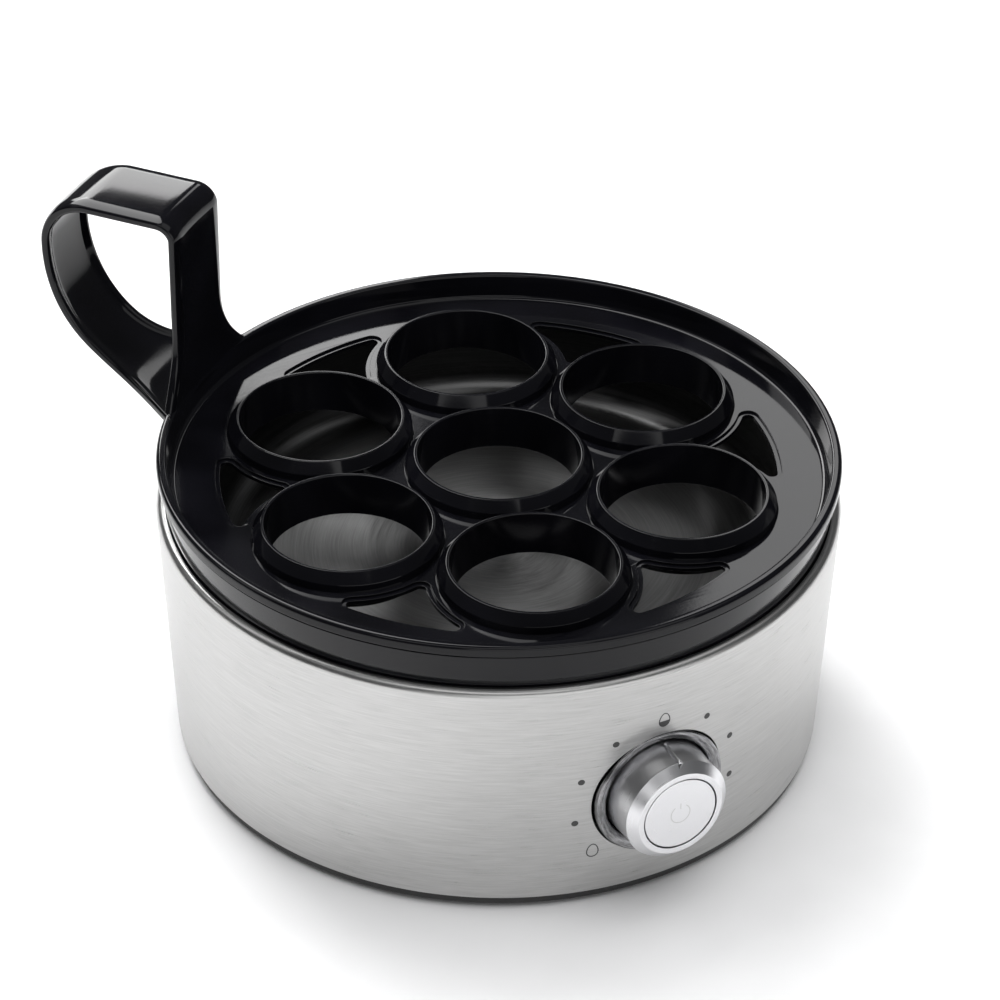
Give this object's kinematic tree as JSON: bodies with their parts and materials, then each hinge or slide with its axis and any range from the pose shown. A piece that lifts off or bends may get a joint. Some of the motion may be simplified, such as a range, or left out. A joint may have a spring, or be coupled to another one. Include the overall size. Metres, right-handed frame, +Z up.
{
  "type": "egg cooker",
  "caption": "Round electric egg cooker with a tapered steel body, a black lift-off cup tray with a loop handle, and a turn-and-push control knob.",
  "frame": {"origin": "on the body's axis, at the surface that the feet stand on, 1.2 mm below the flat underside", "axes": "+Z up along the body's axis; the control knob faces -Y"},
  "size_m": [0.173, 0.1977, 0.1318],
  "materials": {
    "brushed_steel": "brushed round the body, satin",
    "gloss_black": "polished black moulding",
    "satin_black": "fine satin black moulding",
    "rubber": "matte black rubber",
    "satin_metal": "satin plated metal",
    "chrome": "bright plated",
    "plated_steel": "zinc plated",
    "silicone": "matte red-brown silicone",
    "aluminium": "mill finish",
    "circuit_board": "green solder mask",
    "grey_plastic": "grey moulding",
    "blue_plastic": "blue relay case",
    "ceramic": "unglazed white ceramic",
    "brown_insulation": "brown wire insulation",
    "blue_insulation": "blue wire insulation"
  },
  "bodies": {
    "base": {"base_plate": "satin_black", "housing_shell": "brushed_steel", "collar_ring": "gloss_black", "heating_dish": "brushed_steel", "dish_gasket": "silicone", "heat_spreader": "aluminium", "heating_element": "plated_steel", "thermostat": "ceramic", "thermostat_clip": "plated_steel", "thermal_fuse": "ceramic", "heat_shield": "aluminium", "dial_bezel": "chrome", "dial_recess": "satin_black", "dial_sensor": "grey_plastic", "sensor_nut": "plated_steel", "control_board": "circuit_board", "board_screw_left": "plated_steel", "board_screw_right": "plated_steel", "push_switch": "grey_plastic", "relay": "blue_plastic", "capacitor": "grey_plastic", "buzzer": "satin_black", "cord_gland": "satin_black", "gland_nut": "grey_plastic", "terminal_block": "ceramic", "live_wire": "brown_insulation", "neutral_wire": "blue_insulation", "foot_1": "rubber", "foot_2": "rubber", "foot_3": "rubber", "foot_4": "rubber", "base_screw_1": "plated_steel", "base_screw_2": "plated_steel", "base_screw_3": "plated_steel", "base_screw_4": "plated_steel"},
    "tray": {"egg_tray": "gloss_black", "tray_handle": "gloss_black"},
    "knob": {"knob": "satin_metal", "knob_shaft": "plated_steel", "button_spring": "plated_steel"},
    "button": {"knob_button": "satin_metal", "switch_plunger": "satin_black"}
  },
  "joints": [
    {"name": "tray_lift", "type": "slide", "parent": "base", "child": "tray", "axis": [0, 0, 1], "range_m": [0, 0.08]},
    {"name": "knob_turn", "type": "hinge", "parent": "base", "child": "knob", "pos_m": [0, -0.085, 0.0312], "axis": [0, 1, 0], "range_deg": [-133, 127]},
    {"name": "button_press", "type": "slide", "parent": "knob", "child": "button", "axis": [0, 1, 0], "range_m": [0, 0.0012], "stiffness_N_per_m": 800, "springref_m": -0.0015, "deforming": ["button_spring"]}
  ]
}
